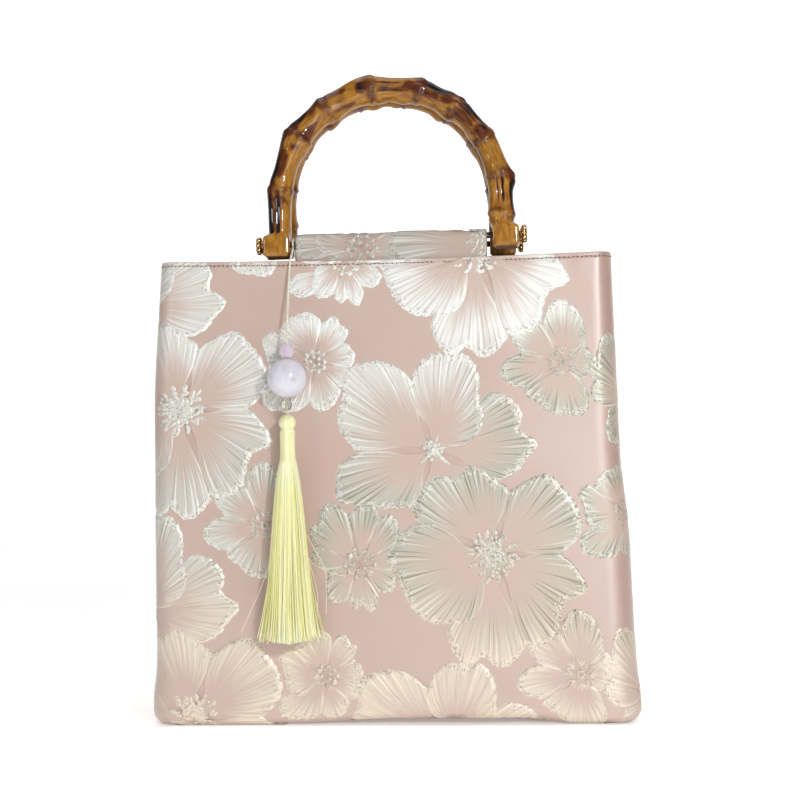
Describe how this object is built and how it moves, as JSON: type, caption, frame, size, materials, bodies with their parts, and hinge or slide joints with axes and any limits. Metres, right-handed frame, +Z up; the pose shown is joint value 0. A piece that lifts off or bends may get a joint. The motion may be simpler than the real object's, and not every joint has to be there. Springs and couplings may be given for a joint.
{
  "type": "evening bag",
  "caption": "Upright boxy brocade evening bag with woven flowers, bent bamboo handles on rods through cloth sleeves at the mouth, and a bead and silk tassel charm on a thread.",
  "frame": {"origin": "bottom centre of the bag's bounding box, without the hanging charm, on the face it stands on", "axes": "+X to the right as seen from the front, +Y from the front to the back, +Z up"},
  "size_m": [0.2544, 0.0932, 0.3395],
  "materials": {
    "brocade": "satin jacquard",
    "bamboo": "glossy lacquer",
    "dark_metal": "dark bronze",
    "gold": "polished",
    "cream_thread": "matte",
    "lilac_bead": "faceted gloss",
    "milky_bead": "milky gloss",
    "clear_bead": "faceted gloss",
    "silk": "silky"
  },
  "bodies": {
    "bag": {"front_panel": "brocade", "back_panel": "brocade", "base_panel": "brocade", "front_tab": "brocade", "back_tab": "brocade", "thread": "cream_thread", "thread_loop": "cream_thread", "lilac_bead": "lilac_bead", "round_bead": "milky_bead", "clear_bead": "clear_bead", "tassel": "silk"},
    "front_grip": {"front_handle": "bamboo", "front_rod": "dark_metal", "front_nut_left": "gold", "front_nut_right": "gold"},
    "back_grip": {"back_handle": "bamboo", "back_rod": "dark_metal", "back_nut_left": "gold", "back_nut_right": "gold"}
  },
  "joints": [
    {"name": "front_handle_swing", "type": "hinge", "parent": "bag", "child": "front_grip", "pos_m": [0.0014, -0.016, 0.2515], "axis": [0.9997, 0, 0.0227], "range_deg": [0, 110]},
    {"name": "back_handle_swing", "type": "hinge", "parent": "bag", "child": "back_grip", "pos_m": [-0.0007, 0.016, 0.2515], "axis": [0.9999, 0, -0.0105], "range_deg": [-110, 0]}
  ]
}
